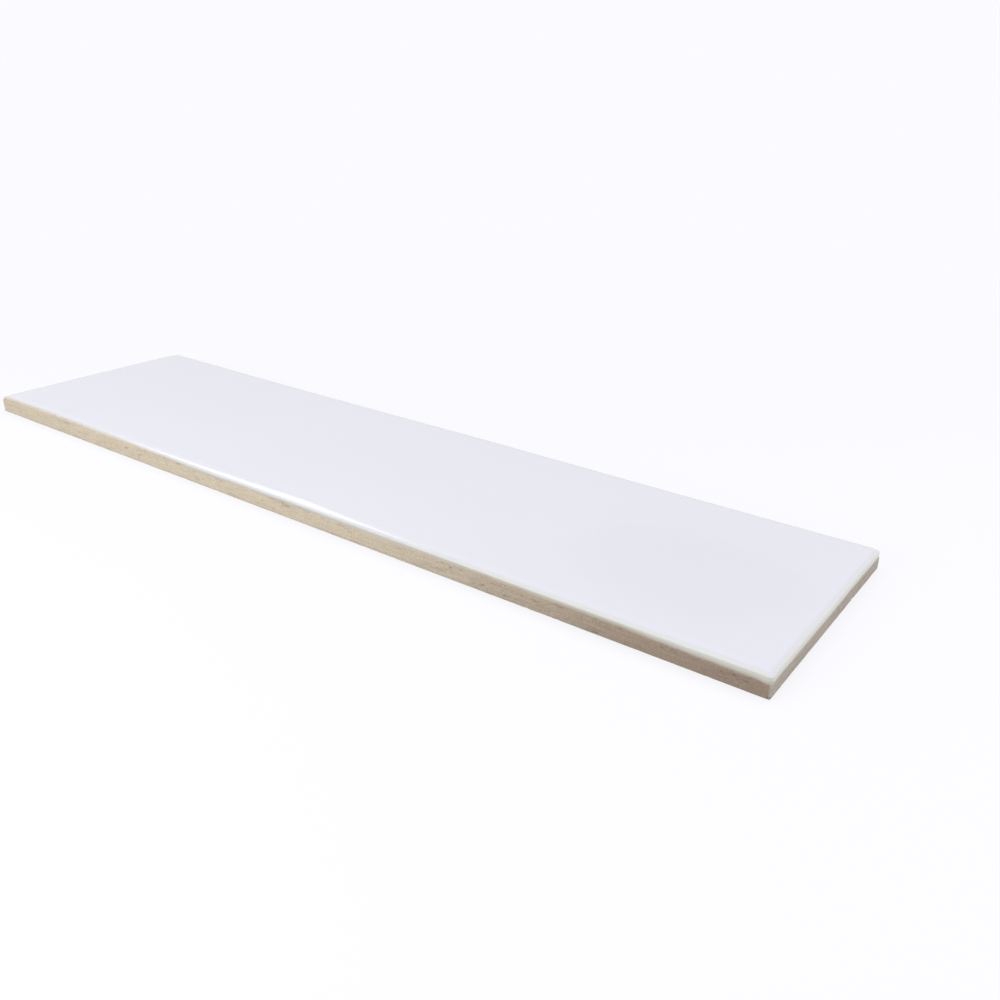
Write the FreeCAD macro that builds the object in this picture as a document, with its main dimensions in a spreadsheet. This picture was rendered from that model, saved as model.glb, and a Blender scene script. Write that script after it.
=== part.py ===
import FreeCAD, Part
import math
import os
import Sketcher

# A glazed wall tile with a rippled face, fired as one piece: a pressed clay biscuit under a coat of glaze.
# X runs along the tile, Y across it and Z up out of the face; the origin is at the middle of the back.
# The bare clay below the glaze line has sharp corners. The glazed top above it is drawn in a little.

Vector = FreeCAD.Vector
UP = Vector(0, 0, 1)

# Driving dimensions, in millimetres and degrees.
DIMENSIONS = {
    "tile_length": 400.0,
    "tile_width": 100.0,
    "tile_thickness": 8.0,
    "clay_corner_radius": 0.5,
    "back_arris_radius": 0.4,
    "rim_fall": 0.25,
    "rim_fall_width": 5.0,
    "glaze_corner_radius": 1.8,
    "glaze_roll_radius": 0.75,
    "glaze_side_inset": 0.1,
    "glaze_reach_left": 0.85,
    "glaze_reach_right": 2.0,
    "back_rim_width": 7.0,
    "key_groove_depth": 0.6,
    "key_groove_width": 3.5,
    "key_groove_draft": 20.0,
    "key_pitch_along": 18.0,
    "key_pitch_across": 15.0,
}

# The rippled face is a sum of plane swells. Each has the height of its crests above the mean, the
# distance from crest to crest, the heading that it runs in and its phase at the origin, in degrees.
SWELL_FIELDS = ("height", "spacing", "heading", "phase")
SWELLS = {
    "long_swell": (0.12, 190.0, 12.0, 40.0),
    "cross_swell": (0.09, 74.0, 82.0, 205.0),
    "drift_swell": (0.07, 118.0, -38.0, 310.0),
    "short_swell": (0.05, 61.0, 63.0, 95.0),
    "fine_swell": (0.03, 47.0, -71.0, 160.0),
}
for swell, values in SWELLS.items():
    DIMENSIONS.update({f"{swell}_{field}": value for field, value in zip(SWELL_FIELDS, values)})

os.makedirs("parts", exist_ok=True)
doc = FreeCAD.newDocument("wall_tile")
sheet = doc.addObject("Spreadsheet::Sheet", "sizes")
for row, (name, value) in enumerate(DIMENSIONS.items(), start=1):
    sheet.set(f"A{row}", name)
    sheet.set(f"B{row}", str(value))
    sheet.setAlias(f"B{row}", name)
doc.recompute()


def size(name):
    """A driving dimension, as the sheet holds it."""
    return float(sheet.get(name))


def bind(feature, **expressions):
    """Ties properties of a feature to the sheet."""
    for prop, expression in expressions.items():
        feature.setExpression(prop.replace("_", "."), expression)


def new_sketch(body, name):
    """A sketch on the plane of the tile's back."""
    sketch = body.newObject("Sketcher::SketchObject", name)
    back = next(f for f in body.Origin.OriginFeatures if f.Role == "XY_Plane")
    sketch.AttachmentSupport = [(back, "")]
    sketch.MapMode = "FlatFace"
    return sketch


def value_of(feature, expression):
    """What an expression on the sheet comes to."""
    return float(feature.evalExpression(expression))


def dimension(sketch, name, expression, kind, *places):
    """Adds a named dimension to a sketch and ties it to the sheet."""
    index = sketch.addConstraint(Sketcher.Constraint(kind, *places, value_of(sketch, expression)))
    sketch.renameConstraint(index, name)
    sketch.setExpression(f"Constraints.{name}", expression)


def outline_sketch(body, name, inset, corner_radius):
    """The tile's plan moved in by one expression, with round corners of another, about the origin."""
    sketch = new_sketch(body, name)
    reach_x = f"sizes.tile_length / 2 - {inset} - {corner_radius}"
    reach_y = f"sizes.tile_width / 2 - {inset} - {corner_radius}"
    mid_x, mid_y, radius = (value_of(sketch, e) for e in (reach_x, reach_y, corner_radius))
    quarter = math.pi / 2
    centres = [Vector(mid_x, -mid_y), Vector(mid_x, mid_y), Vector(-mid_x, mid_y), Vector(-mid_x, -mid_y)]
    for turn, centre in enumerate(centres):
        out = Vector(math.sin(turn * quarter), -math.cos(turn * quarter)) * radius
        sketch.addGeometry(Part.LineSegment(centres[turn - 1] + out, centre + out))
    for turn, centre in enumerate(centres):
        arc = Part.ArcOfCircle(Part.Circle(centre, UP, radius), (turn - 1) * quarter, turn * quarter)
        sketch.addGeometry(arc)
    for side in range(4):
        corner = side + 4
        sketch.addConstraint(Sketcher.Constraint("Tangent", side, 2, corner, 1))
        sketch.addConstraint(Sketcher.Constraint("Tangent", corner, 2, (side + 1) % 4, 1))
        sketch.addConstraint(Sketcher.Constraint("Vertical" if side % 2 else "Horizontal", side))
    for corner in (5, 6, 7):
        sketch.addConstraint(Sketcher.Constraint("Equal", 4, corner))
    sketch.addConstraint(Sketcher.Constraint("Symmetric", 7, 3, 5, 3, -1, 1))
    dimension(sketch, "corner", corner_radius, "Radius", 4)
    dimension(sketch, "reach_x", reach_x, "DistanceX", -1, 1, 5, 3)
    dimension(sketch, "reach_y", reach_y, "DistanceY", -1, 1, 5, 3)
    return sketch


def padded_blank(name, inset, corner_radius, low_end="0"):
    """A body with the tile's plan raised from a height to well above the face, for a surface to trim."""
    body = doc.addObject("PartDesign::Body", name)
    plan = outline_sketch(body, f"{name}_plan", inset, corner_radius)
    bind(plan, AttachmentOffset_Base_z=low_end)
    doc.recompute()
    pad = body.newObject("PartDesign::Pad", f"{name}_pad")
    pad.Profile = plan
    bind(pad, Length="sizes.tile_thickness * 1.5")
    doc.recompute()
    return body, pad


def round_back_arris(body, pad):
    """Rounds the arris that runs all round the back."""
    numbers = [n for n, face in enumerate(pad.Shape.Faces, start=1) if face.BoundBox.ZMax < 1e-6]
    arris = body.newObject("PartDesign::Fillet", "back_arris")
    arris.Base = (pad, [f"Face{numbers[0]}"])
    bind(arris, Radius="sizes.back_arris_radius")
    doc.recompute()


def rectangle_sketch(body, name, far_x, far_y, span_x, span_y):
    """A rectangle on the back: its low corner's distances from the middle and its spans, as expressions."""
    sketch = new_sketch(body, name)
    low = Vector(-value_of(sketch, far_x), -value_of(sketch, far_y))
    high = low + Vector(value_of(sketch, span_x), value_of(sketch, span_y))
    corners = [low, Vector(high.x, low.y), high, Vector(low.x, high.y)]
    for side, corner in enumerate(corners):
        sketch.addGeometry(Part.LineSegment(corner, corners[(side + 1) % 4]))
    for side in range(4):
        sketch.addConstraint(Sketcher.Constraint("Coincident", side, 2, (side + 1) % 4, 1))
        sketch.addConstraint(Sketcher.Constraint("Vertical" if side % 2 else "Horizontal", side))
    dimension(sketch, "far_x", far_x, "DistanceX", 0, 1, -1, 1)
    dimension(sketch, "far_y", far_y, "DistanceY", 0, 1, -1, 1)
    dimension(sketch, "span_x", span_x, "DistanceX", 0, 1, 0, 2)
    dimension(sketch, "span_y", span_y, "DistanceY", 1, 1, 1, 2)
    doc.recompute()
    return sketch


def make_keys():
    """The negative of the keyed back: one shallow recess inside the rim, with rows of lands left standing."""
    body = doc.addObject("PartDesign::Body", "keys")
    reach_x, reach_y = (f"(sizes.tile_{side} / 2 - sizes.back_rim_width)" for side in ("length", "width"))
    spans = f"2 * {reach_x}", f"2 * {reach_y}"
    recess = body.newObject("PartDesign::Pad", "key_recess")
    recess.Profile = rectangle_sketch(body, "recess_plan", reach_x, reach_y, *spans)
    bind(recess, Length="sizes.key_groove_depth", TaperAngle="-sizes.key_groove_draft")
    doc.recompute()
    pitch_x, pitch_y, gap = "sizes.key_pitch_along", "sizes.key_pitch_across", "sizes.key_groove_width"
    count_x, count_y = (f"floor((2 * {reach} - {gap}) / {pitch})"
                        for reach, pitch in ((reach_x, pitch_x), (reach_y, pitch_y)))
    far_x, far_y = (f"({count} * {pitch} - {gap}) / 2"
                    for count, pitch in ((count_x, pitch_x), (count_y, pitch_y)))
    spans = f"{pitch_x} - {gap}", f"{pitch_y} - {gap}"
    land_plan = rectangle_sketch(body, "land_plan", far_x, far_y, *spans)
    land = body.newObject("PartDesign::Pocket", "key_land")
    land.Profile = land_plan
    land.Reversed = True
    bind(land, Length="sizes.key_groove_depth", TaperAngle="sizes.key_groove_draft")
    doc.recompute()
    lands = body.newObject("PartDesign::LinearPattern", "key_lands")
    lands.Originals = [land]
    lands.Direction = (land_plan, ["H_Axis"])
    lands.Direction2 = (land_plan, ["V_Axis"])
    bind(lands, Length=f"({count_x} - 1) * {pitch_x}", Occurrences=count_x)
    bind(lands, Length2=f"({count_y} - 1) * {pitch_y}", Occurrences2=count_y)
    body.Tip = lands
    doc.recompute()
    return body


def face_height(x, y):
    """How far the face stands above its mean plane: the swells, less the fall towards each edge."""
    fall, width = size("rim_fall"), size("rim_fall_width")
    from_end, from_side = size("tile_length") / 2 - abs(x), size("tile_width") / 2 - abs(y)
    total = -fall * (math.exp(-from_end / width) + math.exp(-from_side / width))
    for swell in SWELLS:
        height, spacing, heading, phase = (size(f"{swell}_{field}") for field in SWELL_FIELDS)
        way = math.radians(heading)
        travel = (x * math.cos(way) + y * math.sin(way)) / spacing
        total += height * math.sin(2 * math.pi * travel + math.radians(phase))
    return total


def survey_places(reach):
    """Even places from one side of the tile to the other, close enough for the swells and the rim."""
    spacing = min(size(f"{swell}_spacing") / 6 for swell in SWELLS)
    steps = math.ceil(2 * reach / min(spacing, size("rim_fall_width")))
    return [reach * (2 * step / steps - 1) for step in range(steps + 1)]


def rippled_solid(name, left_height, right_height):
    """Everything below a rippled face, whose mean plane may stand higher on the left than on the right."""
    overhang = size("rim_fall_width")
    survey = []
    for x in survey_places(size("tile_length") / 2 + overhang):
        mean_height = left_height + (right_height - left_height) * (x / size("tile_length") + 0.5)
        places = [(x, y) for y in survey_places(size("tile_width") / 2 + overhang)]
        survey.append([Vector(x, y, mean_height + face_height(x, y)) for x, y in places])
    surface = Part.BSplineSurface()
    surface.interpolate(survey)
    solid = doc.addObject("Part::Feature", name)
    solid.Shape = surface.toShape().extrude(UP * -2 * left_height)
    return solid


def trimmed(name, blank, ripple):
    """A blank cut off at a rippled surface."""
    cut = doc.addObject("Part::Common", name)
    cut.Base = blank
    cut.Tool = ripple
    doc.recompute()
    return cut


def roll_rim(name, blank, radius):
    """Rolls over the rim of a blank's rippled face, where it meets the sides."""
    face = max(blank.Shape.Faces, key=lambda face: face.CenterOfMass.z)
    edges = [n for n, edge in enumerate(blank.Shape.Edges, start=1)
             if any(edge.isSame(rim) for rim in face.OuterWire.Edges)]
    rolled = doc.addObject("Part::Fillet", name)
    rolled.Base = blank
    rolled.Edges = [(n, radius, radius) for n in edges]
    doc.recompute()
    return rolled


def make_bare_clay():
    """The clay up to the glaze line, which sinks from the left end to the right and follows the ripples."""
    body, pad = padded_blank("bare_clay", "0", "sizes.clay_corner_radius")
    round_back_arris(body, pad)
    heights = (size("tile_thickness") - size(f"glaze_reach_{end}") for end in ("left", "right"))
    return trimmed("clay_below_line", body, rippled_solid("glaze_line", *heights))


def make_glazed_top():
    """The glazed upper part, with a rippled face that rolls over into the sides. Its foot is in the clay."""
    corner = "sizes.glaze_corner_radius"
    body, _ = padded_blank("glazed_top", "sizes.glaze_side_inset", corner, "sizes.tile_thickness / 2")
    height = size("tile_thickness")
    blank = trimmed("rippled_top", body, rippled_solid("ripples", height, height))
    return roll_rim("rolled_top", blank, min(size("glaze_roll_radius"), size("glaze_corner_radius") * 0.95))


fired = doc.addObject("Part::Fuse", "fired_blank")
fired.Base = make_bare_clay()
fired.Tool = make_glazed_top()
tile = doc.addObject("Part::Cut", "wall_tile")
tile.Base = fired
tile.Tool = make_keys()
tile.Label = "wall_tile"
doc.recompute()

failed = [obj.Name for obj in doc.Objects if {"Invalid", "Error"} & set(obj.State)]
if failed:
    raise RuntimeError(f"these features failed: {failed}")
if tile.Shape.isNull() or not tile.Shape.isValid() or len(tile.Shape.Solids) != 1:
    raise RuntimeError("the tile isn't one valid solid")
tile.Shape.exportStep(f"parts/{tile.Label}.step")
print(f"{tile.Label}: {tile.Shape.Volume:.1f} cubic millimetres, {len(tile.Shape.Faces)} faces")
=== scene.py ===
import math
from collections import namedtuple
from types import SimpleNamespace

import bmesh
import bpy
from bpy.props import FloatProperty, FloatVectorProperty, IntProperty, PointerProperty
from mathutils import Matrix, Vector, noise


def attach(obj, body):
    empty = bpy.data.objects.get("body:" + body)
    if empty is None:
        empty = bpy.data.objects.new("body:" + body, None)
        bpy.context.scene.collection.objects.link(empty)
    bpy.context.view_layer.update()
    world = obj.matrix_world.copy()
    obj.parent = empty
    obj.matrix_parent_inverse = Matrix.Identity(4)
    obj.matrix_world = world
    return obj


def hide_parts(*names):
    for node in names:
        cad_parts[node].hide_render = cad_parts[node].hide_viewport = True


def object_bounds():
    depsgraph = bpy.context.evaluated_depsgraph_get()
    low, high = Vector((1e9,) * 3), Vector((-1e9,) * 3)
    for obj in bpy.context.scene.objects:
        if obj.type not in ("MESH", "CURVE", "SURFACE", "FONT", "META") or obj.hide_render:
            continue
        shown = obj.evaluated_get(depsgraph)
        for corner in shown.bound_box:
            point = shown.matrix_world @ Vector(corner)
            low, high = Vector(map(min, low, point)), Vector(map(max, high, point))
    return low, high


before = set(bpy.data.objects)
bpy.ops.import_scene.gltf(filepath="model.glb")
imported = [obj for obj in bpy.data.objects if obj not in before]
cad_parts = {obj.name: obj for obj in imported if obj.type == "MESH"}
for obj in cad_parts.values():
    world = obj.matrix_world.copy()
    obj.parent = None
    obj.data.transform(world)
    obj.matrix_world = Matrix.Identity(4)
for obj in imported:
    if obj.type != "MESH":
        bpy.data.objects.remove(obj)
CAD_BOX = [list(corner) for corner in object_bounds()]

bl_info = {
    "name": "Glazed wall tile",
    "version": (1, 0, 0),
    "blender": (4, 5, 0),
    "location": "3D View > Sidebar > Wall tile",
    "description": "Models a rippled, glazed wall tile with its bare clay sides and keyed back",
    "category": "Object",
}

# Lengths in the property groups are metres. Meshes are modelled in millimetres and scaled when they are done.
MM = 0.001
NODE = "wall_tile"
BODY = "root"

# Each swell of the face: crest height and crest spacing in millimetres, heading and phase in degrees.
Swell = namedtuple("Swell", "height spacing heading phase")
SWELLS = (
    Swell(0.12, 190.0, 12.0, 40.0),
    Swell(0.09, 74.0, 82.0, 205.0),
    Swell(0.07, 118.0, -38.0, 310.0),
    Swell(0.05, 61.0, 63.0, 95.0),
    Swell(0.03, 47.0, -71.0, 160.0),
)

# Spots knocked off the clay: each one's place, reach and depth, in millimetres.
Chip = namedtuple("Chip", "x y z reach depth")
CHIPS = (
    Chip(199.7, -49.6, 5.1, 1.3, 0.45),
    Chip(199.7, 49.7, 6.0, 1.3, 0.40),
    Chip(-199.7, -49.8, 6.9, 1.7, 0.60),
    Chip(-199.7, 49.7, 6.6, 1.5, 0.45),
    Chip(128.0, -50.0, 0.3, 1.5, 0.25),
    Chip(-61.0, -50.0, 0.2, 1.8, 0.30),
    Chip(200.0, 22.0, 0.3, 1.4, 0.25),
    Chip(-199.6, 49.7, 0.3, 1.8, 0.40),
)

# How far the coat runs down below the face, in millimetres: place from the left end, and reach.
GLAZE_RUN = ((0.0, 0.60), (100.0, 0.64), (128.0, 0.82), (152.0, 1.48), (255.0, 1.66),
             (295.0, 1.36), (346.0, 1.66), (378.0, 2.3), (392.0, 2.45), (400.0, 2.8))

# Where along X the fall at the edges begins to change from the high end's to the low end's, and over what
# length, in millimetres.
FALL_CHANGE_START, FALL_CHANGE_LENGTH = -60.0, 100.0

# The slow and the quick part of the glaze line's wandering: spacing in millimetres, share and place in
# the noise.
Wander = namedtuple("Wander", "spacing share seed")
WANDERS = (Wander(13.0, 1.3, 5.0), Wander(3.7, 0.7, 25.0))

# The fine waves of the gloss: height, spacing along X and Y in millimetres, and place in the noise.
GLOSS_HEIGHT, GLOSS_SPACING, GLOSS_SEED = 0.008, (23.0, 17.0), 3.7
# Room for them under the top of the frame's box.
CREST_ROOM = 0.01

# The wide and the fine hollows of the clay's sides: spacing along and up a side, and share of the unevenness.
Hollow = namedtuple("Hollow", "along up share")
HOLLOWS = (Hollow(8.0, 1.7, 0.6), Hollow(1.9, 0.9, 0.4))
# The share between the hollows, and how far under the glaze line they reach their full depth.
HOLLOW_REST, HOLLOW_FADE = 0.4, 0.9

# Bits nibbled off the back arris: spacing, place in the noise, least noise for one, and depth over that.
NIBBLE_SPACING, NIBBLE_SEED, NIBBLE_LEAST, NIBBLE_DEPTH = 2.3, 8.0, 0.25, 0.7

# Steps round each corner of an outline, and slack for comparing places in millimetres.
CORNER_SEGMENTS = 10
SLACK = 1e-3


def length_property(name, description, default_mm):
    """A length, given here in millimetres and kept in metres."""
    return FloatProperty(name=name, description=description, default=default_mm * MM, min=0.0,
                         unit="LENGTH", subtype="DISTANCE", precision=5)


def colour_property(name, description, default):
    """A linear colour without alpha."""
    return FloatVectorProperty(name=name, description=description, default=default, size=3,
                               min=0.0, max=1.0, subtype="COLOR")


def share_property(name, description, default):
    """A share from 0 to 1."""
    return FloatProperty(name=name, description=description, default=default, min=0.0, max=1.0,
                         subtype="FACTOR")


class TileShape(bpy.types.PropertyGroup):
    """Sizes that the clay and the glaze share."""
    length: length_property("Length", "Overall length along X", (CAD_BOX[1][0] - CAD_BOX[0][0]) / MM)
    width: length_property("Width", "Overall width along Y", (CAD_BOX[1][1] - CAD_BOX[0][1]) / MM)
    crest: length_property("Crest", "Height of the highest crest of the face", CAD_BOX[1][2] / MM)
    clay_corner_radius: length_property("Clay corner radius", "Radius of the clay's corners in plan", 0.5)
    coat_corner_radius: length_property("Coat corner radius", "Radius of the glaze's corners in plan", 1.8)
    side_inset: length_property("Side inset", "How far the coat stays inside the clay's plan", 0.03)
    rim_span: length_property("Rim span", "How far in from an edge the face starts to fall", 5.0)
    rim_depth: length_property("Rim depth", "Fall of the face at the edges of the low end", 0.85)
    high_rim_depth: length_property("High rim depth", "Fall of the face at the edges of the high end", 1.05)
    roll_start: length_property("Roll start", "Distance in from the rim at which the roll starts", 1.5)
    glaze_thickness: length_property("Glaze thickness", "Depth of glaze over the face", 0.35)
    rim_thickness: length_property("Rim thickness", "Depth of glaze at the rim", 0.18)


class GlazeCoat(bpy.types.PropertyGroup):
    """The glossy coat."""
    line_waver: length_property("Line waver", "How far the lower edge wanders up and down", 0.10)
    toe_radius: length_property("Toe radius", "Roundness of the coat's lower edge", 0.10)
    root: length_property("Root", "How deep the coat's hidden side lies in the clay", 0.20)
    toe_band: length_property("Toe band", "Width of the thin, creamy band at the lower edge", 1.8)
    # Over this band in from the rim the coat thins and is painted a shade darker and more neutral: painted
    # shade.
    thin_rim_shade_band: length_property("Thin band", "Distance in from the rim over which the coat thins", 2.6)
    colour: colour_property("Colour", "Colour of the full coat", (0.760, 0.760, 0.832))
    thin_rim_shade_colour: colour_property("Rim colour", "Colour where the coat thins at the rim", (0.64, 0.64, 0.67))
    toe_colour: colour_property("Toe colour", "Colour of the thin lower edge", (0.72, 0.715, 0.65))
    end_toe_colour: colour_property("End toe colour", "Colour of the lower edge on the low end",
                                    (0.85, 0.84, 0.76))
    film_colour: colour_property("Film colour", "Colour of the clay through the last film of glaze",
                                 (0.58, 0.53, 0.45))
    roughness: share_property("Roughness", "Roughness of the fired gloss", 0.07)


class ClayBiscuit(bpy.types.PropertyGroup):
    """The bare pressed clay."""
    back_arris_radius: length_property("Back arris radius", "Radius of the arris round the back", 0.35)
    unevenness: length_property("Unevenness", "How far the sides sink in at their hollows", 0.09)
    recess: length_property("Recess", "How far the clay lies back just under the glaze line", 0.06)
    tuck: length_property("Tuck", "How far the clay lies behind the coat's side", 0.10)
    rim_width: length_property("Back rim width", "Plain rim round the keyed back", 7.0)
    groove_depth: length_property("Key depth", "Depth of the recess between the lands", 0.6)
    groove_width: length_property("Key width", "Width of the grooves between the lands", 3.5)
    pitch_along: length_property("Key pitch along", "Spacing of the lands along X", 18.0)
    pitch_across: length_property("Key pitch across", "Spacing of the lands along Y", 15.0)
    land_softening: length_property("Land softening", "Size of the worn arris of each land", 0.25)
    lands_along: IntProperty(name="Lands along", description="Number of lands along X", default=21, min=1)
    lands_across: IntProperty(name="Lands across", description="Number of lands along Y", default=5, min=1)
    groove_draft: FloatProperty(name="Key draft", description="Draft of the grooves' sides",
                                default=math.radians(20.0), unit="ROTATION", subtype="ANGLE")
    colour: colour_property("Colour", "Colour of the fired clay", (0.70, 0.61, 0.475))
    # Partly the clay's firing tone and partly painted shade, which darkens the clay towards the low end.
    flash_and_shade_colour: colour_property("Flashed colour", "Colour where the fire darkened the clay",
                                    (0.40, 0.305, 0.240))
    # Painted light and shade: the low end's face is painted its own shade of the clay, lighter than the
    # painted shade on the front beside it.
    end_face_shade_colour: colour_property("End colour", "Colour of the clay on the low end", (0.54, 0.475, 0.405))
    pale_colour: colour_property("Pale grains", "Colour of the pale grains", (0.76, 0.69, 0.58))
    dark_colour: colour_property("Dark grains", "Colour of pits and dark grains", (0.22, 0.155, 0.105))
    wash_colour: colour_property("Wash", "Colour where a film of glaze wets the clay", (0.73, 0.68, 0.58))


class StudioStage(bpy.types.PropertyGroup):
    """Floor, lights and camera."""
    floor_colour: colour_property("Floor colour", "Colour that the floor shows", (0.972, 0.965, 1.0))
    floor_bounce: share_property("Floor bounce", "Share of light that the floor sends back", 0.35)
    floor_reach: length_property("Floor reach", "Distance from the middle to the floor's edge", 30000.0)
    sky: share_property("Sky", "Strength of the even light from all round", 0.40)
    lens: FloatProperty(name="Lens", description="Focal length on a 36 mm sensor", default=34.634,
                        unit="CAMERA")


def in_millimetres(group):
    """A property group's values as plain numbers, its lengths in millimetres."""
    values = {}
    for prop in group.bl_rna.properties:
        if prop.identifier in {"rna_type", "name"}:
            continue
        value = getattr(group, prop.identifier)
        values[prop.identifier] = value / MM if getattr(prop, "unit", "") == "LENGTH" else value
    return SimpleNamespace(**values)


def ease(t):
    """Smooth step from 0 to 1."""
    t = min(max(t, 0.0), 1.0)
    return t * t * (3.0 - 2.0 * t)


class Outline:
    """A rectangle with round corners about the origin."""

    def __init__(self, half_x, half_y, radius):
        self.half = half_x, half_y
        self.radius = radius

    def split(self, x, y):
        """The nearest point of the outline's core to a point, and the way out to the point."""
        limits = [half - self.radius for half in self.half]
        near = Vector([min(max(value, -limit), limit) for value, limit in zip((x, y), limits)])
        return near, (Vector((x, y)) - near).normalized()

    def depth(self, x, y):
        """How far inside the outline a point lies, up to the radius."""
        near, _ = self.split(x, y)
        return self.radius - (Vector((x, y)) - near).length

    def edge(self, x, y):
        """The point of the outline that is nearest to a point outside the core."""
        near, away = self.split(x, y)
        return near + away * self.radius


def coat_outline(shape):
    """The glaze in plan."""
    inset = shape.side_inset
    return Outline(shape.length / 2 - inset, shape.width / 2 - inset, shape.coat_corner_radius)


def clay_outline(shape):
    """The clay in plan."""
    return Outline(shape.length / 2, shape.width / 2, shape.clay_corner_radius)


def rim_depth(shape, x):
    """How far the face falls at an edge, more at the high end than from the middle on."""
    share = ease((x - FALL_CHANGE_START) / FALL_CHANGE_LENGTH)
    return shape.high_rim_depth + (shape.rim_depth - shape.high_rim_depth) * share


def edge_fall(shape, x, depth):
    """Fall of the face at a distance in from one edge, along a quarter ellipse."""
    share = 1 - min(max(depth / shape.rim_span, 0.0), 1.0)
    return rim_depth(shape, x) * (1 - math.sqrt(1 - share ** 2))


def face_rise(shape, x, y):
    """How far the face stands above its mean plane: the swells, less the fall towards each edge."""
    rise = 0.0
    for half, place in ((shape.length / 2, x), (shape.width / 2, y)):
        rise -= edge_fall(shape, x, max(half - shape.side_inset - abs(place), shape.roll_start))
    for swell in SWELLS:
        way = math.radians(swell.heading)
        travel = (x * math.cos(way) + y * math.sin(way)) / swell.spacing
        rise += swell.height * math.sin(math.tau * travel + math.radians(swell.phase))
    return rise


def coat_rise(shape, x, y):
    """How far the coat stands above the mean plane, with the roll at its rim."""
    depth = min(coat_outline(shape).depth(x, y), shape.roll_start)
    return face_rise(shape, x, y) - edge_fall(shape, x, depth) + edge_fall(shape, x, shape.roll_start)


def clay_top(shape, mean, x, y):
    """Height of the clay under the coat."""
    depth = min(shape.length / 2 - abs(x), shape.width / 2 - abs(y))
    cover = shape.rim_thickness + (shape.glaze_thickness - shape.rim_thickness) * ease(depth / shape.rim_span)
    return mean + coat_rise(shape, x, y) - cover


def mean_face_height(shape, survey=2.0):
    """Height of the mean plane that puts the highest crest at the top of the frame's box."""
    steps_x, steps_y = int(shape.length / 2 / survey), int(shape.width / 2 / survey)
    highest = max(face_rise(shape, i * survey, j * survey)
                  for i in range(-steps_x, steps_x + 1) for j in range(-steps_y, steps_y + 1))
    return shape.crest - highest - CREST_ROOM


def waver(x, y):
    """An irregular number, mostly from -1 to 1, that wanders along the rim."""
    return sum(share * noise.noise(Vector((x / spacing, y / spacing, seed)))
               for spacing, share, seed in WANDERS)


def gloss_wave(x, y):
    """Height of the fine waves of the gloss at a place."""
    return GLOSS_HEIGHT * noise.noise(Vector((x / GLOSS_SPACING[0], y / GLOSS_SPACING[1], GLOSS_SEED)))


def glaze_run(shape, coat, x, y):
    """How far below the face's plane the coat ends at a place on the rim."""
    along = x + shape.length / 2
    run = GLAZE_RUN[-1][1]
    for (place, reach), (next_place, next_reach) in zip(GLAZE_RUN, GLAZE_RUN[1:]):
        if place <= along < next_place:
            run = reach + (next_reach - reach) * ease((along - place) / (next_place - place))
    return run + coat.line_waver * waver(x, y) * ease(run)


def glaze_line(shape, coat, mean, x, y):
    """Height at which the coat ends on the side beside a point of the rim."""
    edge = coat_outline(shape).edge(x, y)
    plane = mean + face_rise(shape, edge.x, edge.y) + edge_fall(shape, edge.x, shape.roll_start)
    return plane - glaze_run(shape, coat, edge.x, edge.y)


def ground_rim(bm):
    """The open edges that lie at height zero."""
    return [edge for edge in bm.edges if edge.is_boundary and not any(vert.co.z for vert in edge.verts)]


def crowded(share, crowding):
    """Moves a place from -1 to 1 towards the nearer end."""
    return (1 - crowding) * share + crowding * math.sin(share * math.pi / 2)


def grid_lid(bm, outline, depth, cells, crowding, rim_step=0.0, rim_cuts=0):
    """A flat grid at height zero that stops at a depth inside an outline, denser towards its rim.

    Its rim is cut to a step or a number of times. Returns its vertices and the edges of its rim."""
    reach = outline.radius - depth
    made = bmesh.ops.create_grid(bm, x_segments=cells[0], y_segments=cells[1], size=1.0)["verts"]
    for vert in made:
        for axis in (0, 1):
            vert.co[axis] = crowded(vert.co[axis], crowding) * (outline.half[axis] - depth)
    corners = [vert for vert in made if len(vert.link_edges) == 2]
    bmesh.ops.bevel(bm, geom=corners, offset=reach, segments=CORNER_SEGMENTS, profile=0.5,
                    material=-1, affect="VERTICES")
    by_cuts = {}
    for edge in ground_rim(bm):
        if edge.calc_length() > reach / 4:
            cuts = rim_cuts or (round(edge.calc_length() / rim_step) - 1 if rim_step else 0)
            by_cuts.setdefault(cuts, []).append(edge)
    for cuts, edges in by_cuts.items():
        if cuts > 0:
            bmesh.ops.subdivide_edges(bm, edges=edges, cuts=cuts)
    rim = ground_rim(bm)
    home = bm.verts.layers.float_vector["home"]
    for edge in rim:
        for vert in edge.verts:
            vert[home] = outline.edge(vert.co.x, vert.co.y).to_3d()
    return [vert for vert in bm.verts if not vert.co.z], rim


def extrude_rim(bm, rim, place):
    """Carries a rim one step on, with each new vertex where place puts it. Returns the new rim."""
    made = bmesh.ops.extrude_edge_only(bm, edges=rim)["geom"]
    verts = {item for item in made if isinstance(item, bmesh.types.BMVert)}
    for vert in verts:
        vert.co = place(vert)
    return [item for item in made if isinstance(item, bmesh.types.BMEdge) and verts.issuperset(item.verts)]


def finished_piece(bm, name, material):
    """Turns a closed mesh in millimetres into an object in metres that stands for the fired tile."""
    bm.verts.layers.float_vector.remove(bm.verts.layers.float_vector["home"])
    bmesh.ops.recalc_face_normals(bm, faces=bm.faces)
    bmesh.ops.scale(bm, vec=(MM, MM, MM), verts=bm.verts)
    mesh = bpy.data.meshes.new(name)
    bm.to_mesh(mesh)
    bm.free()
    mesh.materials.append(material)
    piece = bpy.data.objects.new(name, mesh)
    bpy.context.scene.collection.objects.link(piece)
    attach(piece, BODY)
    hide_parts(NODE)


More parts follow.
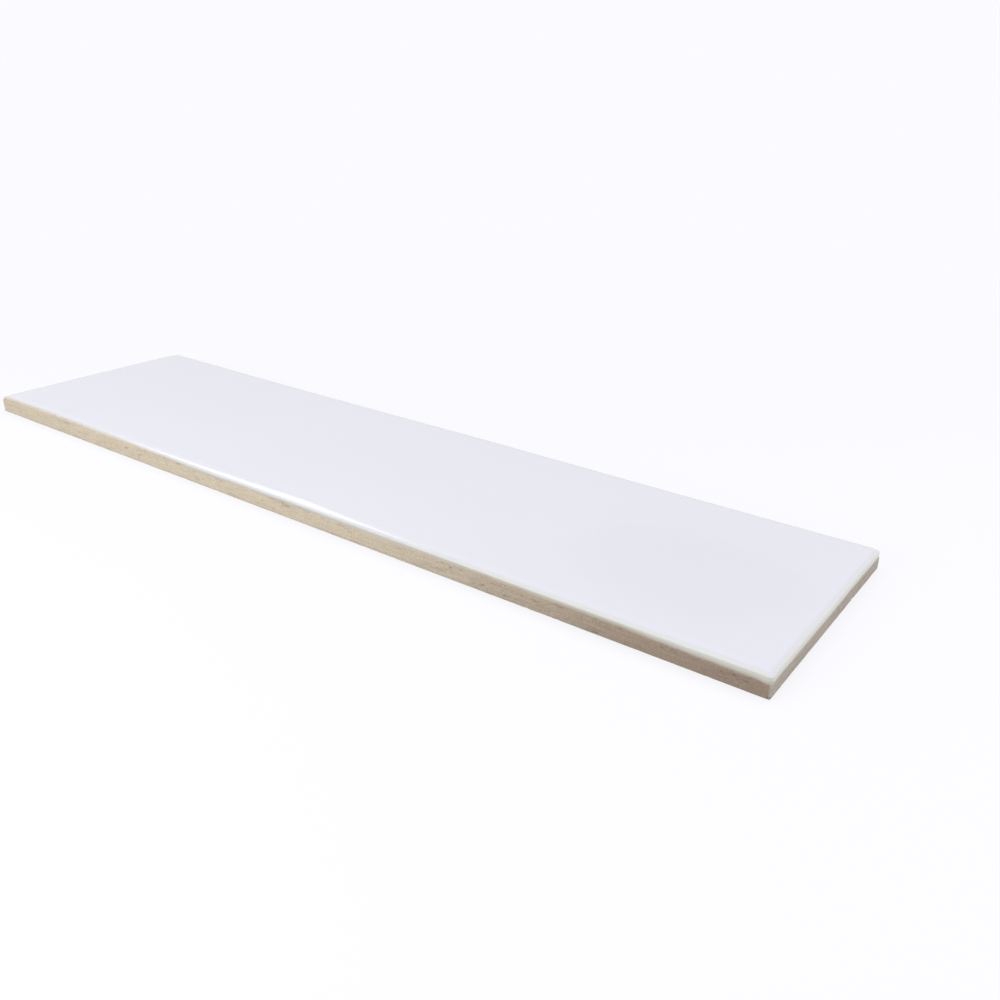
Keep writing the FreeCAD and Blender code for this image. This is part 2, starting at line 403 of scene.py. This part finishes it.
class TILE_OT_glaze_coat(bpy.types.Operator):
    """Lay the glossy coat over the rippled face and roll it down to its line on the sides"""
    bl_idname = "wall_tile.glaze_coat"
    bl_label = "Glaze coat"

    # Rings of the roll and of the toe.
    roll_steps = 14
    toe_steps = 3
    # Cells of the face along X and Y, and how much they crowd at its rim.
    cells = (300, 84)
    crowding = 0.7
    # Cuts in the rim of the coarser underside, which make it meet the ring above.
    hidden_rim_cuts = 3
    # Least width of the creamy band as a share of its full one, and its growth per millimetre of run.
    toe_band_least = 0.4
    toe_band_growth = 0.6
    # Share of the roll from which the coat's direction at its end is taken.
    brink = 0.97

    def execute(self, context):
        shape = in_millimetres(context.scene.tile_shape)
        coat = in_millimetres(context.scene.glaze_coat)
        mean = mean_face_height(shape)
        outline = coat_outline(shape)
        bm = bmesh.new()
        home = bm.verts.layers.float_vector.new("home")
        toe = bm.verts.layers.float.new("toe")
        # The thin layer carries the share of painted shade where the coat thins at the rim.
        thin = bm.verts.layers.float.new("thin")

        def thin_rim_shade_share(x, y):
            """Share of painted shade where the coat thins towards the rim, from 0 on the open face to 1 at
            the rim.
            """
            return ease(1 - min(outline.half[0] - abs(x), outline.half[1] - abs(y)) / coat.thin_rim_shade_band)

        face, rim = grid_lid(bm, outline, shape.roll_start, self.cells, self.crowding)
        for vert in face:
            vert.co.z = mean + face_rise(shape, vert.co.x, vert.co.y) + gloss_wave(vert.co.x, vert.co.y)
            vert[thin] = thin_rim_shade_share(vert.co.x, vert.co.y)

        first = math.asin(1 - shape.roll_start / shape.rim_span)

        def rolled_spot(edge, share):
            """A point on the roll, from the face's rim at 0 to the glaze line at 1, and its way left."""
            near, away = outline.split(edge.x, edge.y)
            run = glaze_run(shape, coat, edge.x, edge.y)
            fall = rim_depth(shape, edge.x)
            last = math.acos(min(max(1 - run / fall, 0.0), 1.0))
            curved = (last - first) * fall
            total = curved + max(run - fall, 0.0)
            travel = total * share
            turn = first + min(travel, curved) / fall
            out = outline.radius - shape.rim_span * (1 - math.sin(turn))
            drop = fall * (1 - math.cos(turn)) + max(travel - curved, 0.0)
            spot = near + away * out
            plane = mean + face_rise(shape, spot.x, spot.y) + edge_fall(shape, edge.x, shape.roll_start)
            return Vector((spot.x, spot.y, plane + gloss_wave(spot.x, spot.y) - drop)), total - travel

        def rolled(share):
            """Places a vertex on the roll."""
            def place(vert):
                spot, way_left = rolled_spot(vert[home], share)
                run = glaze_run(shape, coat, spot.x, spot.y)
                band = coat.toe_band * (self.toe_band_least + self.toe_band_growth * run)
                vert[toe] = ease(1 - way_left / band)
                vert[thin] = thin_rim_shade_share(spot.x, spot.y)
                return spot
            return place

        def turned_in(share, root=0.0):
            """Places a vertex on the round toe, from the glaze line at 0 to inside the clay at 1."""
            def place(vert):
                edge = vert[home]
                end = rolled_spot(edge, 1.0)[0]
                along = (end - rolled_spot(edge, self.brink)[0]).normalized()
                away = outline.split(edge.x, edge.y)[1].to_3d()
                inward = away * along.z - Vector((0.0, 0.0, along.dot(away)))
                turn = share * math.pi / 2
                vert[toe] = 1.0
                return (end + along * coat.toe_radius * math.sin(turn)
                        + inward * (coat.toe_radius * (1 - math.cos(turn)) + root))
            return place

        for step in range(1, self.roll_steps + 1):
            rim = extrude_rim(bm, rim, rolled(step / self.roll_steps))
        for step in range(1, self.toe_steps + 1):
            rim = extrude_rim(bm, rim, turned_in(step / self.toe_steps))
        rim = extrude_rim(bm, rim, turned_in(1.0, coat.root))

        cuts = self.hidden_rim_cuts + 1
        hidden_cells = (self.cells[0] // cuts, self.cells[1] // cuts)
        underside, hidden_rim = grid_lid(bm, outline, shape.roll_start, hidden_cells, self.crowding,
                                         rim_cuts=self.hidden_rim_cuts)
        for vert in underside:
            vert.co.z = clay_top(shape, mean, vert.co.x, vert.co.y) - coat.root / 2
        bmesh.ops.bridge_loops(bm, edges=rim + hidden_rim)
        for face in bm.faces:
            face.smooth = True
        finished_piece(bm, "glaze_coat", glaze_finish(context.scene))
        return {"FINISHED"}


def side_hollow(clay, spot, line):
    """How far the clay's side lies in from its true plane at a point, with its chips."""
    depth = HOLLOW_REST
    for along, up, share in HOLLOWS:
        depth += share * noise.noise(Vector((spot.x / along, spot.y / along, spot.z / up)))
    depth *= clay.unevenness
    depth *= ease((line - spot.z) / HOLLOW_FADE)
    nibbled = noise.noise(Vector((spot.x / NIBBLE_SPACING, spot.y / NIBBLE_SPACING, NIBBLE_SEED)))
    nibbled -= NIBBLE_LEAST
    reach = 2 * clay.back_arris_radius
    if nibbled > 0 and spot.z < reach:
        depth += NIBBLE_DEPTH * nibbled * (1 - spot.z / reach)
    for chip in CHIPS:
        gap = (spot - Vector((chip.x, chip.y, chip.z))).length
        if gap < chip.reach:
            depth += chip.depth * ease(1 - gap / chip.reach)
    return max(depth, 0.0)


def land_line(index, count, pitch, gap, flare, reach):
    """Where grid line number index of a row of lands lies: the two sides of each land, at its foot."""
    if index == 0:
        return -reach
    if index == 2 * count + 1:
        return reach
    land, side = divmod(index - 1, 2)
    middle = (land - (count - 1) / 2) * pitch
    half = (pitch - gap) / 2 + flare
    return middle + (half if side else -half)


def is_land(place, count, pitch, nearness=0.2):
    """Whether a cell's middle lies on a land and not in a groove."""
    number = place / pitch + (count - 1) / 2
    return abs(number - round(number)) < nearness and 0 <= round(number) < count


def keyed_back(bm, shape, clay, wall_rim):
    """Closes the back: a plain border, a shallow recess and its rows of drafted lands."""
    flare = clay.groove_depth * math.tan(clay.groove_draft)
    counts = clay.lands_along, clay.lands_across
    pitches = clay.pitch_along, clay.pitch_across
    reaches = [side / 2 - clay.rim_width for side in (shape.length, shape.width)]
    lines = [2 * count + 1 for count in counts]
    kept = set(bm.faces)
    made = bmesh.ops.create_grid(bm, x_segments=lines[0], y_segments=lines[1], size=1.0)["verts"]
    for vert in made:
        for axis in (0, 1):
            index = round((vert.co[axis] + 1) / 2 * lines[axis])
            vert.co[axis] = land_line(index, counts[axis], pitches[axis], clay.groove_width, flare,
                                      reaches[axis] - flare)
        vert.co.z = clay.groove_depth
    floor = [face for face in bm.faces if face not in kept]
    bmesh.ops.reverse_faces(bm, faces=floor)
    rim = [edge for edge in bm.edges if edge.is_boundary and edge.verts[0].co.z > clay.groove_depth / 2
           and set(edge.link_faces).issubset(floor)]
    lands = []
    for face in floor:
        middle = face.calc_center_median()
        if is_land(middle.x, counts[0], pitches[0]) and is_land(middle.y, counts[1], pitches[1]):
            lands.append(face)
    bmesh.ops.inset_individual(bm, faces=lands, thickness=flare, depth=clay.groove_depth,
                               use_even_offset=True)

    def widened(outward, height):
        """Places a vertex on the recess's sloping side or its soft arris."""
        def place(vert):
            spot = vert.co.copy()
            for axis in (0, 1):
                if abs(spot[axis]) > reaches[axis] - flare - SLACK:
                    spot[axis] = math.copysign(reaches[axis] + outward, spot[axis])
            spot.z = height
            return spot
        return place

    soft = clay.land_softening
    for outward, height in ((-0.35 * flare, soft), (0.1 * soft, 0.3 * soft), (0.6 * soft, 0.0)):
        rim = extrude_rim(bm, rim, widened(outward, height))
    bmesh.ops.triangle_fill(bm, use_beauty=True, edges=rim + wall_rim)
    arrises = {edge for land in lands for vert in land.verts for edge in vert.link_edges}
    worn = bmesh.ops.bevel(bm, geom=list(arrises), offset=soft, segments=2, profile=0.5, material=-1,
                           affect="EDGES")
    for face in worn["faces"]:
        face.smooth = True


class TILE_OT_clay_biscuit(bpy.types.Operator):
    """Press the clay body with its soft shoulder, uneven sides and keyed back"""
    bl_idname = "wall_tile.clay_biscuit"
    bl_label = "Clay biscuit"

    # Cells of the top along X and Y, how much they crowd at its rim, and where and how finely it ends.
    cells = (100, 40)
    crowding = 0.95
    shoulder_start = 0.4
    rim_step = 0.9
    # Rings of the shoulder, the side and the back arris.
    shoulder_steps = 5
    wall_steps = 15
    arris_steps = 4
    # Bands in millimetres about the glaze line: where the clay tucks in, lies back, and is wet with glaze at
    # the low end and painted in shade at the high end.
    tuck_blend = 0.5
    recess_start = 0.9
    recess_blend = 0.6
    wash_band = 0.8
    # Share of the tuck that is taken, which keeps the rings of the hidden shoulder apart.
    tuck_share = 0.9

    def execute(self, context):
        shape = in_millimetres(context.scene.tile_shape)
        coat = in_millimetres(context.scene.glaze_coat)
        clay = in_millimetres(context.scene.clay_biscuit)
        mean = mean_face_height(shape)
        outline, cover = clay_outline(shape), coat_outline(shape)
        bm = bmesh.new()
        home = bm.verts.layers.float_vector.new("home")
        # This layer marks the band under the glaze line: glaze wash at the low end, painted shade under the
        # lip at the high end.
        wash_and_lip_shade = bm.verts.layers.float.new("wash_and_lip_shade")

        def tucked(spot, over):
            """Draws a point in plan in behind the coat's side, if it lies over the glaze line."""
            near, away = cover.split(spot.x, spot.y)
            excess = (spot - near).length - cover.radius + clay.tuck
            overlap = ease((over + self.tuck_blend / 2) / self.tuck_blend)
            return spot - away * max(excess, 0.0) * self.tuck_share * overlap

        top_face, rim = grid_lid(bm, outline, self.shoulder_start, self.cells, self.crowding,
                                 rim_step=self.rim_step)
        for vert in top_face:
            vert.co.xy = tucked(vert.co.xy, over=self.tuck_blend)
            vert.co.z = clay_top(shape, mean, vert.co.x, vert.co.y)

        def placed(profile):
            """Places a vertex by a profile's depth and height, sunk in at the side's hollows."""
            def place(vert):
                edge = vert[home]
                near, away = outline.split(edge.x, edge.y)
                depth, height = profile(edge)
                spot = near + away * (outline.radius - depth)
                line = glaze_line(shape, coat, mean, edge.x, edge.y)
                level = clay_top(shape, mean, spot.x, spot.y) if height is None else height
                over = level - line
                sink = clay.recess * ease((over + self.recess_start) / self.recess_blend)
                sink += side_hollow(clay, Vector((spot.x, spot.y, level)), line)
                spot = tucked(spot - away * sink, over)
                vert[wash_and_lip_shade] = ease(1 + over / self.wash_band)
                if height is None:
                    level = clay_top(shape, mean, spot.x, spot.y)
                return Vector((spot.x, spot.y, level))
            return place

        def shoulder(share):
            """A ring of the top's round shoulder, which follows the clay under the coat."""
            first = math.asin(1 - self.shoulder_start / shape.rim_span)
            turn = first + (math.pi / 2 - first) * share
            return lambda edge: (shape.rim_span * (1 - math.sin(turn)), None)

        def wall(share):
            """A ring of the side, from the shoulder down to the back arris."""
            low = clay.back_arris_radius
            return lambda edge: (0.0, low + (clay_top(shape, mean, edge.x, edge.y) - low) * (1 - share))

        def arris(share):
            """A ring of the arris round the back."""
            turn = share * math.pi / 2
            radius = clay.back_arris_radius
            return lambda edge: (radius * (1 - math.cos(turn)), radius * (1 - math.sin(turn)))

        for profile, steps in ((shoulder, self.shoulder_steps), (wall, self.wall_steps),
                               (arris, self.arris_steps)):
            for step in range(1, steps + 1):
                rim = extrude_rim(bm, rim, placed(profile(step / steps)))
        for face in bm.faces:
            face.smooth = True
        keyed_back(bm, shape, clay, rim)
        finished_piece(bm, "clay_biscuit", clay_finish(context.scene))
        return {"FINISHED"}


class Wire:
    """An output of a shader node, on which arithmetic adds Math nodes."""

    def __init__(self, finish, socket):
        self.finish = finish
        self.socket = socket

    def __add__(self, other):
        return self.finish.maths("ADD", self, other)

    def __sub__(self, other):
        return self.finish.maths("SUBTRACT", self, other)

    def __rsub__(self, other):
        return self.finish.maths("SUBTRACT", other, self)

    def __mul__(self, other):
        return self.finish.maths("MULTIPLY", self, other)

    def __truediv__(self, other):
        return self.finish.maths("DIVIDE", self, other)

    def __rtruediv__(self, other):
        return self.finish.maths("DIVIDE", other, self)

    def __abs__(self):
        return self.finish.maths("ABSOLUTE", self)

    __radd__ = __add__
    __rmul__ = __mul__

    def twin(self, output):
        """Another output of the same node."""
        return Wire(self.finish, self.socket.node.outputs[output])


class Finish:
    """A node tree that is built by calls: a material's or the world's."""

    def __init__(self, tree):
        self.tree = tree
        tree.nodes.clear()

    def add(self, kind, settings=None, sockets=None, output=0):
        """Adds a node, with its settings first, then the values or wires of its sockets."""
        node = self.tree.nodes.new(kind)
        for name, value in (settings or {}).items():
            setattr(node, name, value)
        for name, value in (sockets or {}).items():
            if isinstance(value, Wire):
                self.tree.links.new(value.socket, node.inputs[name])
            else:
                node.inputs[name].default_value = value
        return Wire(self, node.outputs[output]) if node.outputs else node

    def maths(self, operation, *values):
        """A Math node on numbers and wires."""
        return self.add("ShaderNodeMath", {"operation": operation}, dict(enumerate(values)))

    def step(self, value, low, high, to_low=0.0, to_high=1.0):
        """A smooth step of a value between two limits."""
        return self.add("ShaderNodeMapRange", {"interpolation_type": "SMOOTHSTEP"},
                        {"Value": value, "From Min": low, "From Max": high,
                         "To Min": to_low, "To Max": to_high})

    def mix(self, share, first, second):
        """A mix of two colours."""
        return self.add("ShaderNodeMix", {"data_type": "RGBA"},
                        {"Factor": share, 6: first, 7: second}, output=2)

    def shaded(self, colour, share):
        """A colour multiplied by a number."""
        return self.add("ShaderNodeVectorMath", {"operation": "SCALE"}, {0: colour, "Scale": share})

    def attribute(self, name):
        """A number that the piece's vertices carry."""
        return self.add("ShaderNodeAttribute", {"attribute_name": name}, output="Fac")

    def relief(self, height):
        """A fine relief of the surface, from its height in millimetres."""
        return self.add("ShaderNodeBump", None, {"Strength": 1.0, "Distance": MM, "Height": height},
                        output="Normal")

    def scaled(self, vector, scale):
        """Coordinates multiplied by a scale on each axis."""
        return self.add("ShaderNodeMapping", None, {"Vector": vector, "Scale": scale})

    def grain(self, vector, scale, detail=2.0, roughness=0.5):
        """Noise of a scale, from 0 to 1."""
        return self.add("ShaderNodeTexNoise", None, {"Vector": vector, "Scale": scale,
                                                      "Detail": detail, "Roughness": roughness})


def rgba(colour, share=1.0):
    """A colour times a share, with full alpha."""
    return (*(min(part * share, 1.0) for part in colour), 1.0)


def new_finish(name):
    """A new material's node tree, and its coordinates in millimetres."""
    material = bpy.data.materials.new(name)
    material.use_nodes = True
    finish = Finish(material.node_tree)
    place = finish.add("ShaderNodeTexCoord", output="Object")
    return material, finish, finish.scaled(place, (1 / MM, 1 / MM, 1 / MM))


def finish_surface(finish, sockets):
    """Ends a material in one Principled shader."""
    shader = finish.add("ShaderNodeBsdfPrincipled", None, sockets)
    finish.add("ShaderNodeOutputMaterial", None, {"Surface": shader})


# In the finishes, limits of steps along x and over a height are millimetres from the frame's origin.
# Middle and reach along X and Y of the oval of the face that is painted a shade darker, a painted reflection,
# in millimetres.
DARK_OVAL_MIDDLE, DARK_OVAL_REACH = (150.0, -8.0), (38.0, 27.0)


def glaze_finish(scene):
    """Glossy white glaze: faint mottle, thinner at the rim and painted a shade darker and more neutral there,
    a painted reflection in an oval and painted shade towards the low end, creamy at its lower edge.
    """
    coat = scene.glaze_coat
    material, finish, place = new_finish("white_glaze")
    x = finish.add("ShaderNodeSeparateXYZ", None, {"Vector": place}, output="X")
    y = x.twin("Y")
    cloud = finish.grain(place, 0.035, 3.0, 0.55)
    mottle = finish.grain(place, 0.22, 3.0, 0.5)
    toe = finish.attribute("toe")
    thin = finish.attribute("thin")
    body = finish.mix((cloud - 0.5) * 0.5 + (mottle - 0.5) * 0.25 + 0.5,
                      rgba(coat.colour, 0.985), rgba(coat.colour, 1.015))
    # A painted reflection: the coat is painted a shade darker in a wide oval near the low end, and painted
    # shade darkens it a little towards the low end.
    off_x, off_y = (x - DARK_OVAL_MIDDLE[0]) / DARK_OVAL_REACH[0], (y - DARK_OVAL_MIDDLE[1]) / DARK_OVAL_REACH[1]
    dark_oval = finish.step(off_x * off_x + off_y * off_y + (cloud - 0.5) * 0.8, 0.5, 1.7, 1.0, 0.0)
    reflection_and_end_shaded = finish.shaded(body, 1.0 - dark_oval * 0.020 - finish.step(x, 60.0, 190.0) * 0.012)
    # Painted shade: where the coat thins at the rim it is painted darker and more neutral.
    thin_rim_shaded = finish.mix(thin * (cloud * 0.2 + 0.9), reflection_and_end_shaded, rgba(coat.thin_rim_shade_colour))
    # Its lower edge turns creamy towards the low end, and the last film of it lets the clay through.
    low_end = finish.step(x, 0.0, 150.0)
    cream = finish.mix(finish.step(x, 140.0, 185.0), rgba(coat.toe_colour), rgba(coat.end_toe_colour))
    creamed = finish.mix(toe * (low_end * 0.75 + 0.2), thin_rim_shaded, cream)
    film = finish.step(toe, 0.72, 1.0) * (low_end * 0.35 + 0.35)
    colour = finish.mix(film, creamed, rgba(coat.film_colour))
    orange_peel = finish.grain(place, 0.30, 2.0, 0.4)
    pinholes = finish.add("ShaderNodeTexVoronoi", None, {"Vector": place, "Scale": 0.16})
    pitted = finish.step(pinholes, 0.0, 0.035, 1.0, 0.0)
    finish_surface(finish, {"Base Color": colour, "IOR": 1.52,
                            "Roughness": (mottle - 0.5) * 0.04 + coat.roughness + toe * 0.20,
                            "Normal": finish.relief(orange_peel * 0.004 - pitted * 0.02)})
    return material


def clay_finish(scene):
    """Fired clay: sandy grain, specks, press lines, cracks and pits, darker and redder towards the low end,
    partly from the fire and partly painted shade, with painted shade low on the sides and under the glaze
    line.
    """
    clay = scene.clay_biscuit
    half = in_millimetres(scene.tile_shape).length / 2
    material, finish, place = new_finish("bare_clay")
    x = finish.add("ShaderNodeSeparateXYZ", None, {"Vector": place}, output="X")
    height = x.twin("Z")
    wash_and_lip_shade = finish.attribute("wash_and_lip_shade")
    cloud = finish.grain(place, 0.05, 3.0, 0.6)
    patch = finish.grain(place, 0.45, 3.0, 0.6)
    sand = finish.grain(place, 1.5, 4.0, 0.75)
    flecks = finish.grain(place, 3.8, 2.0, 0.5)
    press = finish.grain(finish.scaled(place, (0.06, 0.06, 1.5)), 1.0, 3.0, 0.6)
    seams = finish.grain(finish.scaled(place, (0.07, 0.07, 1.2)), 1.0, 1.0, 0.4)
    cracked = finish.step(abs(seams - 0.5), 0.0, 0.011, 1.0, 0.0) * finish.step(patch, 0.46, 0.58)
    pits = finish.add("ShaderNodeTexVoronoi", None, {"Vector": place, "Scale": 0.8})
    pitted = finish.step(pits, 0.08, 0.22, 1.0, 0.0) * finish.step(patch, 0.52, 0.66)
    # The body's colour, darker and redder towards the low end, partly the fire's tone and partly painted
    # shade, and its grain.
    flash_and_shade = finish.step(x + (cloud - 0.5) * 50.0, 20.0, half)
    fired = finish.mix(flash_and_shade, rgba(clay.colour), rgba(clay.flash_and_shade_colour))
    # The low end's face is painted its own shade of the clay, a lit copy beside the painted shade of the
    # front.
    base = finish.mix(finish.step(x, half - 0.9, half - 0.35), fired, rgba(clay.end_face_shade_colour))
    body = finish.shaded(base, finish.step(sand, 0.28, 0.72, 0.80, 1.17))
    streaked = finish.shaded(body, finish.step(press, 0.34, 0.66, 0.93, 1.05))
    pale = finish.mix(finish.step(flecks, 0.60, 0.74) * 0.5, streaked, rgba(clay.pale_colour))
    dark_share = cracked * 0.55 + pitted * 0.40 + finish.step(flecks, 0.40, 0.27) * 0.35
    dark = finish.mix(dark_share, pale, rgba(clay.dark_colour))
    # Painted shade low on the sides, and the brink under the glaze line: painted shade under the coat's lip
    # at the high end, partly a glaze stain, and wet with glaze at the low end.
    low = finish.step(height + (patch - 0.5) * 1.6, 0.2, 1.1, 1.0, 0.0)
    low_shaded = finish.mix(low * 0.30, dark, rgba(clay.colour, 0.62))
    # Painted shade: at the high end the brink is a darker copy of the clay, shade under the coat's lip,
    # partly a glaze stain.
    brink = finish.mix(finish.step(x, -20.0, 130.0), rgba(clay.colour, 0.74), rgba(clay.wash_colour))
    colour = finish.mix(wash_and_lip_shade * 0.5, low_shaded, brink)
    height_map = sand * 0.10 + press * 0.08 - cracked * 0.10 - pitted * 0.14 + flecks * 0.04
    finish_surface(finish, {"Base Color": colour, "IOR": 1.45, "Roughness": 0.82 + sand * 0.14,
                            "Normal": finish.relief(height_map)})
    return material


# Soft lights: place, target and size in metres, power in watts, and whether the gloss mirrors the light.
Softbox = namedtuple("Softbox", "name place target size power colour mirrored")
SOFTBOXES = (
    Softbox("overhead_softbox", place=(-0.14, 0.30, 1.30), target=(0.0, 0.0, 0.0), size=(1.6, 1.4),
            power=9.6, colour=(1.0, 0.995, 0.99), mirrored=False),
    Softbox("front_left_softbox", place=(-0.10, -0.42, 0.13), target=(-0.10, -0.05, 0.0), size=(0.52, 0.28),
            power=1.25, colour=(1.0, 1.0, 1.0), mirrored=False),
    Softbox("back_left_softbox", place=(-0.95, 0.47, 0.80), target=(-0.07, -0.05, 0.0), size=(0.41, 0.36),
            power=1.0, colour=(1.0, 1.0, 1.0), mirrored=True),
    Softbox("right_softbox", place=(0.75, 0.05, 0.30), target=(0.15, 0.0, 0.0), size=(0.4, 0.4),
            power=1.9, colour=(0.94, 0.97, 1.0), mirrored=False),
)
# The camera's place in metres, its turn in degrees, its shift, and its sensor in millimetres.
CAMERA_PLACE = (0.27087, -0.27357, 0.15997)
CAMERA_TURN = (65.4047, -1.5340, 34.7073)
CAMERA_SHIFT = (-0.04, 0.01)
SENSOR_WIDTH = 36.0
# The plain colour's share of what is seen of the floor near the tile, and how much it grows far out.
FLOOR_PLAIN, FLOOR_PLAIN_FAR = 0.8, 0.2
# Distances from the middle between which it grows, in millimetres.
FLOOR_FADE = (260.0, 700.0)


def seen_straight(finish):
    """1 for what the camera sees, straight or in a glossy or clear surface, and 0 for soft light."""
    seen = finish.add("ShaderNodeLightPath", output="Is Camera Ray")
    mirrored, let_through = seen.twin("Is Glossy Ray"), seen.twin("Is Transmission Ray")
    return finish.maths("MINIMUM", seen + mirrored + let_through, 1.0)


def floor_finish(stage):
    """Pale floor: it shows a near-white that keeps the shadow, and fades to plain white far out."""
    material, finish, place = new_finish("pale_floor")
    distance = finish.add("ShaderNodeVectorMath", {"operation": "LENGTH"}, {0: place}, output="Value")
    far = finish.step(distance, *FLOOR_FADE)
    seen = seen_straight(finish)
    soft = finish.add("ShaderNodeBsdfDiffuse", None,
                      {"Color": finish.mix(seen, rgba([stage.floor_bounce] * 3), rgba(stage.floor_colour))})
    plain = finish.add("ShaderNodeEmission", None, {"Color": rgba(stage.floor_colour), "Strength": 1.0})
    share = seen * (FLOOR_PLAIN + far * FLOOR_PLAIN_FAR)
    surface = finish.add("ShaderNodeMixShader", None, {0: share, 1: soft, 2: plain})
    finish.add("ShaderNodeOutputMaterial", None, {"Surface": surface})
    return material


class TILE_OT_studio_stage(bpy.types.Operator):
    """Set out the floor, the soft lights and the camera"""
    bl_idname = "wall_tile.studio_stage"
    bl_label = "Studio stage"

    def execute(self, context):
        stage = context.scene.studio_stage
        self.lay_floor(context.scene, stage)
        self.hang_lights(context.scene)
        self.light_world(context.scene, stage)
        self.set_camera(context.scene, stage)
        return {"FINISHED"}

    def lay_floor(self, scene, stage):
        """One wide flat floor under the tile."""
        bm = bmesh.new()
        bmesh.ops.create_grid(bm, x_segments=1, y_segments=1, size=stage.floor_reach)
        mesh = bpy.data.meshes.new("studio_floor")
        bm.to_mesh(mesh)
        bm.free()
        mesh.materials.append(floor_finish(stage))
        floor = bpy.data.objects.new("studio_floor", mesh)
        scene.collection.objects.link(floor)

    def hang_lights(self, scene):
        """The soft lights, each aimed at its target."""
        for box in SOFTBOXES:
            light = bpy.data.lights.new(box.name, "AREA")
            light.shape = "RECTANGLE"
            light.size, light.size_y = box.size
            light.energy = box.power
            light.color = box.colour
            lamp = bpy.data.objects.new(box.name, light)
            lamp.location = box.place
            aim = Vector(box.target) - Vector(box.place)
            lamp.rotation_euler = aim.to_track_quat("-Z", "Y").to_euler()
            lamp.visible_camera = False
            lamp.visible_glossy = box.mirrored
            scene.collection.objects.link(lamp)

    def light_world(self, scene, stage):
        """Even light from all round, and a plain backdrop."""
        world = bpy.data.worlds.new("studio_world")
        world.use_nodes = True
        scene.world = world
        finish = Finish(world.node_tree)
        seen = seen_straight(finish)
        colour = finish.mix(seen, rgba([stage.sky] * 3), rgba(stage.floor_colour))
        backdrop = finish.add("ShaderNodeBackground", None, {"Color": colour, "Strength": 1.0})
        finish.add("ShaderNodeOutputWorld", None, {"Surface": backdrop})

    def set_camera(self, scene, stage):
        """The camera, and plain colours in its picture."""
        camera = bpy.data.cameras.new("studio_camera")
        camera.sensor_width = SENSOR_WIDTH
        camera.lens = stage.lens
        camera.shift_x, camera.shift_y = CAMERA_SHIFT
        camera.clip_start = 0.01
        camera.clip_end = 200.0
        view = bpy.data.objects.new("studio_camera", camera)
        view.location = CAMERA_PLACE
        view.rotation_euler = [math.radians(angle) for angle in CAMERA_TURN]
        scene.collection.objects.link(view)
        scene.camera = view
        scene.view_settings.view_transform = "Standard"


class TILE_PT_workshop(bpy.types.Panel):
    """The tile's sizes and finishes, and the steps that make it"""
    bl_label = "Wall tile"
    bl_idname = "TILE_PT_workshop"
    bl_space_type = "VIEW_3D"
    bl_region_type = "UI"
    bl_category = "Wall tile"

    def draw(self, context):
        for title, group in SETTINGS:
            box = self.layout.box()
            box.label(text=group.__doc__)
            settings = getattr(context.scene, title)
            for name in group.__annotations__:
                box.prop(settings, name)
        for step in STEPS:
            self.layout.operator(step.bl_idname)


SETTINGS = (
    ("tile_shape", TileShape),
    ("glaze_coat", GlazeCoat),
    ("clay_biscuit", ClayBiscuit),
    ("studio_stage", StudioStage),
)
STEPS = (TILE_OT_clay_biscuit, TILE_OT_glaze_coat, TILE_OT_studio_stage)


def register():
    for _, group in SETTINGS:
        bpy.utils.register_class(group)
    for title, group in SETTINGS:
        setattr(bpy.types.Scene, title, PointerProperty(type=group))
    for step in STEPS:
        bpy.utils.register_class(step)
    bpy.utils.register_class(TILE_PT_workshop)


def unregister():
    bpy.utils.unregister_class(TILE_PT_workshop)
    for step in reversed(STEPS):
        bpy.utils.unregister_class(step)
    for title, group in reversed(SETTINGS):
        delattr(bpy.types.Scene, title)
        bpy.utils.unregister_class(group)


def main():
    """Makes the tile and its stage."""
    register()
    bpy.ops.wall_tile.clay_biscuit()
    bpy.ops.wall_tile.glaze_coat()
    bpy.ops.wall_tile.studio_stage()


if __name__ == "__main__":
    main()
